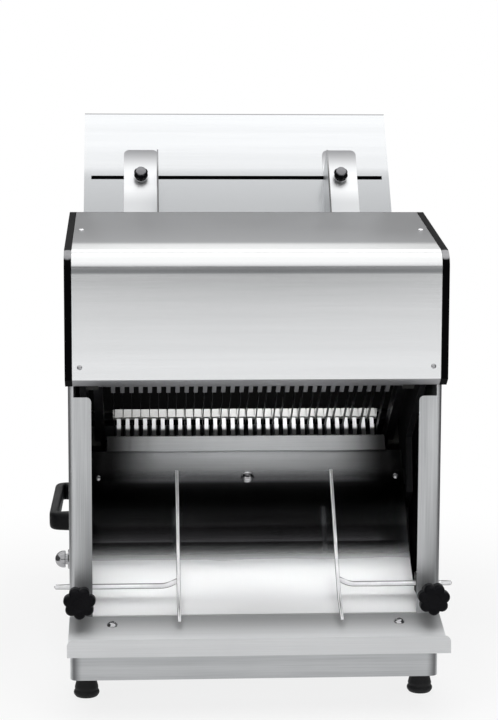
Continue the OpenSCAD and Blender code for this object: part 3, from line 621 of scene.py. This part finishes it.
hood_steel = ground_steel("hood_steel", "x", (0.77, 0.78, 0.79), (0.83, 0.84, 0.85), 0.17, lines=0.06,
                          change=hood_painted_light)
hood = piece("hood_sheet", [skin(hood_grid, around=False, closed=False)], hood_steel, "machine",
             ["hood_cover"], sharp=30, closed=False)
thickness = hood.modifiers.new("sheet", "SOLIDIFY")
thickness.thickness = sheet * MM
thickness.offset = -1
bevelled(hood, 0.4)
hood_screw = (6.5, 2.2, 1.0)
top_screw = (6.5, 1.3, 0.6)
hood_screw_in = 9.5
hood_screw_up = 16
hood_screw_x = hood_high[0] - hood_screw_in
hood_screw_z = edge_z + hood_screw_up
along_top = 108
top_y = arc[-1, 0] + along_top * math.cos(pitch)
top_z = arc[-1, 1] + along_top * math.sin(pitch)
hood_heads = [screw_head((x, front, hood_screw_z), (0, -1, 0), *hood_screw, cross_recess)
              for x in (-hood_screw_x, hood_screw_x)]
piece("hood_screw_heads", hood_heads, screw_steel, "machine", ["hood_screws"])
top_heads = [screw_head((x, top_y, top_z), off_top, *top_screw, cross_recess)
             for x in (-hood_screw_x, hood_screw_x)]
# Near white and only a little metallic, as a painted highlight on the small screw heads.
highlight_steel = polished_steel("highlight_steel", (0.92, 0.92, 0.93), 0.35, metallic=0.3)
piece("hood_top_screw_heads", top_heads, highlight_steel, "machine")


def end_plate_highlight(place, colour, gloss):
    """Black paint, with a painted highlight of bare metal colour on the rim where the plate turns from the
    front to the top.
    """
    bare = place.facing().dot((0, -0.64, 0.77)).limit(0.90, 0.97)
    return bare.blend((0.0015, 0.0015, 0.0018), colour), gloss, bare


end_paint = ground_steel("end_paint", "y", (0.30, 0.30, 0.31), (0.42, 0.42, 0.43), 0.40,
                         change=end_plate_highlight, shine=0.02)
dress(end_paint, "left_hood_end", "right_hood_end")
soften(1.0, "left_hood_end", "right_hood_end")


# Infeed plate and fences.
# The folded chute plate has a long slot, and each fence is an angle of sheet that a knob clamps in the slot.
# Both are ground along the slot, and the plate's edges are folded back.
def furthest(node, direction):
    """How far the points of a CAD node reach along a direction, in metres."""
    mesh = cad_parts[node].data
    points = np.empty(3 * len(mesh.vertices))
    mesh.vertices.foreach_get("co", points)
    return float((points.reshape(-1, 3) @ direction).max())


plate_top = furthest("infeed_plate", up_chute)
fence_edge = furthest("left_fence", off_chute)
# Where each painted shade sets in and is full, in metres above the bench, and for the cut from the edge
# inwards.
slot_shade_under = (0.668, 0.648)
blade_shade_below = (0.54, 0.46)
knob_shadow_above = (0.655, 0.695)
foot_shade_under = (0.636, 0.612)
edge_shade_in = (0.0025, 0.0015)


def plate_shading(place, colour, gloss):
    """Below the slot the plate is painted a little darker, and near the blades dark, as painted shade. A
    painted dark line of shade runs along the upper edge."""
    height = place.dot((0, 0, 1))
    dull = height.limit(*slot_shade_under)
    dark = height.limit(*blade_shade_below)
    toned = dark.blend(dull.blend(colour, (0.44, 0.45, 0.46)), (0.02, 0.02, 0.02))
    rim = place.dot(up_chute).limit(plate_top - 0.0020, plate_top - 0.0014)
    return rim.blend(toned, (0.25, 0.25, 0.26)), gloss, 1 - dark * 0.1


infeed_steel = ground_steel("infeed_steel", "x", (0.56, 0.57, 0.58), (0.62, 0.63, 0.64), 0.16, lines=0.06,
                            change=plate_shading)
dress(infeed_steel, "infeed_plate")


def fence_shading(place, colour, gloss):
    """The head of the fence is painted darker as the knob's painted shadow, its foot a little darker as
    painted shade, and the cut edge of its wing dark as painted shade."""
    height = place.dot((0, 0, 1))
    head = height.limit(*knob_shadow_above)
    foot = height.limit(*foot_shade_under)
    colour = foot.blend(colour, (0.64, 0.65, 0.66))
    edge = fence_edge - place.dot(off_chute)
    cut = edge.limit(*edge_shade_in) * (1 - head)
    return cut.blend(head.blend(colour, (0.27, 0.27, 0.28)), (0.10, 0.10, 0.10)), gloss, 1 - cut * 0.5


fence_steel = ground_steel("fence_steel", "x", (0.82, 0.83, 0.84), (0.87, 0.88, 0.89), 0.34, lines=0.06,
                           change=fence_shading)
dress(fence_steel, "left_fence", "right_fence")
soften(0.5, "left_fence", "right_fence")


# Fence knobs.
# Small black moulded knobs with six lobes and a dark pressed metal cap, on a washer and a threaded stud.
# Each turns on its fence and clamps it through the slot.
def lobed(count, depth, start=0.0):
    """Hand grips round a knob: the radius swells and sinks by a depth, count times round from a start angle,
    where the knob is wide."""
    def swell(angle, profile):
        half = 0.5 * profile[:, 0].max()
        share = np.clip((profile[:, :1] - half) / half, 0, 1)
        wave = np.abs(np.cos(count * (angle - start) / 2)) ** 0.8
        return share * depth * (wave - 1)
    return swell


def knob_profile(radius, low, high, hub):
    """Side of a knob from its stud up: hub, rounded grip with a soft crown, and a shallow dish on top."""
    dish = high - 1.2
    return eased([(hub, low - 6), (hub, low), (radius - 2, low), (radius, low + 3), (radius, high - 5),
                  (radius - 3, high - 1), (radius * 0.45, high), (radius * 0.35, dish), (0.5, dish)], 2.2, 8)


cap_metal = polished_steel("cap_metal", (0.22, 0.22, 0.23), 0.20)
black_gloss = moulded("black_moulding", (0.003, 0.003, 0.004), (0.007, 0.007, 0.008), 0.40, 700, 0.00003,
                      shine=0.06)
slot_drop = 115.8
plate_rim = 6
plate_high = corners("infeed_plate")[1]
slot_y = plate_high[1] - slot_drop * math.cos(slope) - plate_rim * math.sin(slope)
slot_z = plate_high[2] - slot_drop * math.sin(slope)
# Radius and height over the plate along each profile.
stud_radius = 2.6
washer_line = eased([(stud_radius, 2.2), (9, 2.2), (9, 3.7), (stud_radius, 3.7)], 0.4)
stud_line = [(stud_radius, -16), (stud_radius, 4)]
grip_line = knob_profile(radius=10.8, low=5.5, high=17.5, hub=6.5)
cap_line = eased([(7.6, 15), (7.6, 17.4), (7, 18), (0.3, 18.2)], 0.6)
for hand in ("left", "right"):
    knob_low, knob_high = corners(hand + "_fence_knob")
    knob_place = np.array(((knob_low[0] + knob_high[0]) / 2, slot_y, slot_z))
    washer = turned(washer_line, knob_place, off_chute)
    stud = turned(stud_line, knob_place, off_chute, around=24)
    grip = turned(grip_line, knob_place, off_chute, around=96, lobes=lobed(count=6, depth=1.6))
    cap = turned(cap_line, knob_place, off_chute, around=32)
    piece(hand + "_fence_cap", [cap], cap_metal, hand + "_fence_clamp")
    piece(hand + "_fence_grip", [grip], black_gloss, hand + "_fence_clamp",
          [hand + "_fence_knob"])
    piece(hand + "_fence_washer", [washer, stud], screw_steel, hand + "_fence_clamp")


# Wire guides.
# A bright rod slides in a clamp behind each post, and a guide wire, bent twice, is welded to its kinked end.
# Rod and wire are drawn steel, nickel plated.
def tube(path, radius, beside, around=20):
    """Round section carried along a path: path + r (cos a p + sin a q), with p square to the path and
    nearest to the beside vector; the ends are rounded off by rows of shrinking radius."""
    step = np.gradient(path, axis=0)
    step /= np.linalg.norm(step, axis=1, keepdims=True)
    p = np.array(beside, float) - (step @ np.array(beside, float))[:, None] * step
    p /= np.linalg.norm(p, axis=1, keepdims=True)
    q = np.cross(step, p)
    ease = np.radians((75, 50, 25))
    tip = radius * (1 - np.sin(ease))
    start = path[0] + tip[:, None] * step[0]
    end = path[-1] - tip[::-1, None] * step[-1]
    spine = np.vstack((start, path[1:-1], end))
    shrunk = radius * np.cos(ease)
    width = np.concatenate((shrunk, np.full(len(path) - 2, radius), shrunk[::-1]))
    rows = np.concatenate(([0, 0, 0], np.arange(1, len(path) - 1), [len(path) - 1] * 3))
    angle = np.linspace(0, 2 * np.pi, around, endpoint=False)
    ring = np.cos(angle)[None, :, None] * p[rows][:, None] + np.sin(angle)[None, :, None] * q[rows][:, None]
    return skin(spine[:, None] + width[:, None, None] * ring)


def shaded_flanks(facing):
    """1 below, above and on both sides, to left and right, where the wire and rod carry painted shade."""
    under = (facing.dot((0, 0.2, -0.98)) + 0.2).size().limit(0.55, 0.85)
    beside = facing.dot((1, 0, 0)).size().limit(0.72, 0.95)
    return under.math("MAXIMUM", under, beside)


# The near white, barely metallic finish is a painted highlight, and the dark sides, top and underside are
# painted shade.
wire_painted_light = polished_steel("wire_painted_light", (0.97, 0.97, 0.98), 0.26, metallic=0.05, shade_by_facing=shaded_flanks)
rod_radius = 3.5
wire_radius = 2.5
rod_bend = 8
wire_bend = 14
kink = 15
straight = 40
clamp_half = 12
rod_tip = (-2, 8)
# Each corner of the wire, as steps back and up from the rod's axis.
wire_corners = [(96, 132), (-2, 10), (-26, -14), (-62, -31)]
clamp_low, clamp_high = corners("left_rod_clamp")
rod_y = clamp_high[1] - clamp_half
rod_z = (clamp_low[2] + clamp_high[2]) / 2
for hand, side, wire_x in (("left", -1, 97), ("right", 1, 107)):
    out_x = np.abs(corners(hand + "_wire_guide"))[:, 0].max()
    rod_line = [(out_x, rod_y, rod_z), (out_x - straight, rod_y, rod_z), (wire_x + kink, rod_y, rod_z),
                (wire_x, rod_y + rod_tip[0], rod_z + rod_tip[1])]
    wire_line = [(wire_x, rod_y + back, rod_z + up) for back, up in wire_corners]
    mirror = np.array((side, 1, 1))
    rod = tube(eased(rod_line, rod_bend) * mirror, rod_radius, (0, 1, 0))
    wire = tube(eased(wire_line, wire_bend) * mirror, wire_radius, (1, 0, 0))
    piece(hand + "_guide_wire", [rod, wire], wire_painted_light, hand + "_guide", [hand + "_wire_guide"])


# Star knobs.
# Black moulded knobs with seven lobes on a hub and a steel stud, screwed through the post into the rod clamp.
# They pinch the guide rods.
star_radius = 20.4
star_thick = 20
star_hub = 9
hub_gap = 0.3
star_stud = [(4, -19.5), (4, 12)]
for hand in ("left", "right"):
    star_low, star_high = corners(hand + "_star_knob")
    star_x = (star_low[0] + star_high[0]) / 2
    star_z = (star_low[2] + star_high[2]) / 2
    post = corners(hand + "_side_panel")[0][1]
    face = post - star_low[1]
    star_place = (star_x, post, star_z)
    star_line = knob_profile(star_radius, face - star_thick, face, star_hub)
    star_line = np.vstack(([(star_hub, hub_gap)], star_line))
    star_lobes = lobed(count=7, depth=3.8, start=math.pi)
    grip = turned(star_line, star_place, (0, -1, 0), around=140, lobes=star_lobes)
    stud = turned(star_stud, star_place, (0, -1, 0), around=24)
    piece(hand + "_star_grip", [grip], black_gloss, hand + "_star", [hand + "_star_knob"])
    piece(hand + "_star_stud", [stud], screw_steel, hand + "_star")


# Carrying handles.
# Black moulded grips with a window for the fingers, screwed to the side panels from inside.
# The skin is a fine matt pebble.
black_matte = moulded("black_grip", (0.003, 0.003, 0.004), (0.007, 0.007, 0.008), 0.45, 1100, 0.00006,
                      shine=0.12)
dress(black_matte, "cable_gland")


def swept(path, width, height, around=32, corner=4.5):
    """Section carried along a level path: path + w/2 |cos a|^(2/n) side + h/2 |sin a|^(2/n) up, with the
    signs of cos a and sin a, and n the corner value: a larger n makes the section more square."""
    step = np.gradient(path, axis=0)
    step /= np.linalg.norm(step, axis=1, keepdims=True)
    side = np.stack((step[:, 1], -step[:, 0], np.zeros(len(path))), -1)
    angle = np.linspace(0, 2 * np.pi, around, endpoint=False)
    wide = np.sign(np.cos(angle)) * abs(np.cos(angle)) ** (2 / corner)
    high = np.sign(np.sin(angle)) * abs(np.sin(angle)) ** (2 / corner)
    across = side[:, None] * (width[:, None] / 2 * wide)[..., None]
    return skin(path[:, None] + across + np.array((0, 0, 1)) * (height / 2 * high)[None, :, None])


foot_wide = 30
grip_wide = 13
root = 8
bow_radius = 17
for hand, side in (("left", -1), ("right", 1)):
    grip_low, grip_high = corners(hand + "_handle")
    wall, out = sorted(abs(np.array((grip_low[0], grip_high[0]))))
    middle_y, middle_z = (grip_low[1:] + grip_high[1:]) / 2
    half_long = (grip_high[1] - grip_low[1]) / 2
    foot_y = half_long - foot_wide / 2
    grip_x = out - grip_wide / 2
    bow = eased([(wall, foot_y, 0), (wall + root, foot_y, 0), (grip_x, foot_y, 0), (grip_x, 0, 0),
                 (grip_x, -foot_y, 0), (wall + root, -foot_y, 0), (wall, -foot_y, 0)], bow_radius, 12)
    reach = np.clip((bow[:, 0] - wall) / (grip_x - wall), 0, 1)
    wide = foot_wide + (grip_wide - foot_wide) * reach ** 1.5
    grip = swept((bow + (0, middle_y, middle_z)) * (side, 1, 1), wide, grip_high[2] - grip_low[2])
    piece(hand + "_handle_grip", [grip], black_matte, "machine", [hand + "_handle"])


# Push button.
# A domed cap in a turned bezel, fixed through the left side panel with a nut behind it.
# Dark chromed brass, so it mirrors the room.
chrome = polished_steel("button_chrome", (0.40, 0.40, 0.41), 0.08)
stem_long = 14
stem_radius = 6.9
cap_start = 6.8
cap_edge = 0.6
dome_start = 9.2
button_low, button_high = corners("power_button")
button_r = (button_high[2] - button_low[2]) / 2
button_y, button_z = (button_low[1:] + button_high[1:]) / 2
button_place = (button_high[0] - stem_long, button_y, button_z)
dome = np.radians(np.linspace(0, 88, 20))
dome_line = np.stack((button_r * np.cos(dome), dome_start + button_r * np.sin(dome)), -1)
button_line = np.vstack(([(stem_radius, -stem_long), (stem_radius, cap_start),
                          (button_r - cap_edge, cap_start), (button_r, cap_start + cap_edge)], dome_line))
button_skin = turned(button_line, button_place, (-1, 0, 0), around=64)
piece("button_cap", [button_skin], chrome, "button", ["power_button"])
dress(chrome, "button_bezel")


# Studio, with the camera where the photographer stood.
# A white floor and room, a large soft lamp above the operator and one over the machine, small ones at the
# throat and the slide, and cards that only gloss sees.
def plain_sheet(name, corners_m, material):
    """A flat four-cornered sheet that belongs to the studio."""
    mesh = bpy.data.meshes.new(name)
    mesh.from_pydata(corners_m, [], [(0, 1, 2, 3)])
    mesh.materials.append(material)
    made = bpy.data.objects.new(name, mesh)
    bpy.context.scene.collection.objects.link(made)
    return made


def background_ray(tree):
    """1 for camera, glossy and transmitted rays, else 0."""
    rays = tree.nodes.new("ShaderNodeLightPath").outputs
    direct = Value(tree, rays["Is Camera Ray"])
    seen = direct.math("MAXIMUM", direct, Value(tree, rays["Is Glossy Ray"]))
    return seen.math("MAXIMUM", seen, Value(tree, rays["Is Transmission Ray"]))


def studio_material(name, glow, shade):
    """Even light of a strength for background rays, with a share of plain white paint near the machine."""
    material = bpy.data.materials.new(name)
    material.use_nodes = True
    tree = material.node_tree
    tree.nodes.clear()
    seen = background_ray(tree)
    paint = seen.node("BsdfDiffuse", None, {"Color": (0.8, 0.8, 0.8, 1)})
    light = seen.node("Emission", None, {"Color": (1, 1, 1, 1), "Strength": glow})
    place = Value(tree, tree.nodes.new("ShaderNodeTexCoord").outputs["Object"])
    far = place.node("VectorMath", {"operation": "LENGTH"}, {0: place}, 1).limit(0.35, 1.1)
    mixed = seen.node("MixShader", None, {0: seen * (1 - shade + far * shade), 1: paint, 2: light})
    out = tree.nodes.new("ShaderNodeOutputMaterial")
    tree.links.new(mixed.socket, out.inputs["Surface"])
    return material


floor_white = studio_material("floor_white", glow=1.0, shade=0.18)
floor_half = 8
floor_rim = [(x * floor_half, y * floor_half, 0) for x, y in ((-1, -1), (1, -1), (1, 1), (-1, 1))]
plain_sheet("floor", floor_rim, floor_white)
card_half = 2.5
# Each card runs across between two edges of (y, z), and has the glow that gloss sees.
cards = (("front_card", (-2.9, 0.36), (-2.9, 0.86), 0.22), ("top_card", (-0.4, 2.4), (0.1, 2.4), 1.75),
         ("back_card", (1.0, 1.15), (1.0, 0.55), 0.35), ("high_card", (0.1, 2.4), (0.6, 2.4), 0.60),
         ("rear_card", (0.6, 2.4), (1.8, 2.4), 1.3), ("wall_card", (1.8, 2.4), (1.8, 1.2), 1.3),
         ("low_card", (2.2, 0.55), (2.2, 0.02), 0.06))
card_rims = [(name, [(-card_half, y0, z0), (card_half, y0, z0), (card_half, y1, z1), (-card_half, y1, z1)],
              glow) for name, (y0, z0), (y1, z1), glow in cards]
card_rims += [(name, [(x, -2.4, 0.02), (x, 2.2, 0.02), (x, 2.2, 1.6), (x, -2.4, 1.6)], 0.12)
              for name, x in (("left_card", -card_half), ("right_card", card_half))]
card_rims += [(name, [(x0, -0.8, 0.015), (x1, -0.8, 0.015), (x1, 2.2, 0.015), (x0, 2.2, 0.015)], 0.06)
              for name, x0, x1 in (("left_floor_card", -card_half, -0.75),
                                   ("right_floor_card", 0.75, card_half))]
for card_name, rim_line, card_glow in card_rims:
    card = plain_sheet(card_name, rim_line, studio_material(card_name, card_glow, shade=0.0))
    card.visible_camera = False
    card.visible_diffuse = False
    card.visible_shadow = False
    card.visible_transmission = False


def soft_lamp(name, place, aim, width, depth, power, spread=180):
    """A flat soft lamp that faces a point, with its light held within an angle."""
    lamp = bpy.data.lights.new(name, "AREA")
    lamp.shape = "RECTANGLE"
    lamp.size = width
    lamp.size_y = depth
    lamp.energy = power
    lamp.spread = math.radians(spread)
    made = bpy.data.objects.new(name, lamp)
    made.location = place
    made.rotation_euler = (Vector(aim) - Vector(place)).to_track_quat("-Z", "Y").to_euler()
    made.visible_camera = False
    made.visible_glossy = False
    bpy.context.scene.collection.objects.link(made)


soft_lamp("key_lamp", (0.0, -1.2, 2.2), (0, -0.15, 0.15), 2.2, 1.4, 29)
soft_lamp("over_lamp", (0.0, -0.2, 2.35), (0, -0.2, 0), 1.6, 0.45, 16)
soft_lamp("inner_lamp", (0.0, -0.01, 0.40), (0, -0.085, 0.425), 0.20, 0.02, 0.15)
soft_lamp("throat_lamp", (0.02, 0.10, 0.98), (0.02, 0.0, 0.33), 0.34, 0.08, 0.46, 32)
for hand, side in (("left", -1), ("right", 1)):
    lamp_place = (side * 0.18, -0.62, 0.60)
    soft_lamp(hand + "_slide_lamp", lamp_place, (side * 0.17, -0.17, 0.15), 0.14, 0.06, 0.035, 24)
world = bpy.data.worlds.new("white_room")
bpy.context.scene.world = world
world.use_nodes = True
room = world.node_tree
room.nodes.clear()
room_ray = background_ray(room)
room_glow = room_ray * 0.65 + 0.35
backdrop = room_ray.node("Background", None, {"Color": (1, 1, 1, 1), "Strength": room_glow})
room_out = room.nodes.new("ShaderNodeOutputWorld")
room.links.new(backdrop.socket, room_out.inputs["Surface"])

lens = bpy.data.cameras.new("photo_camera")
lens.lens = 95
lens.sensor_width = 36
camera = bpy.data.objects.new("photo_camera", lens)
stand = (-0.1466, -2.5718, 0.7282)
heading, fall, roll = (math.radians(angle) for angle in (-3.35, 90 - 7.07, 0.17))
turned_to = Matrix.Rotation(heading, 4, "Z") @ Matrix.Rotation(fall, 4, "X") @ Matrix.Rotation(roll, 4, "Z")
camera.matrix_world = Matrix.Translation(stand) @ turned_to
bpy.context.scene.collection.objects.link(camera)
bpy.context.scene.camera = camera
bpy.context.scene.view_settings.view_transform = "Standard"
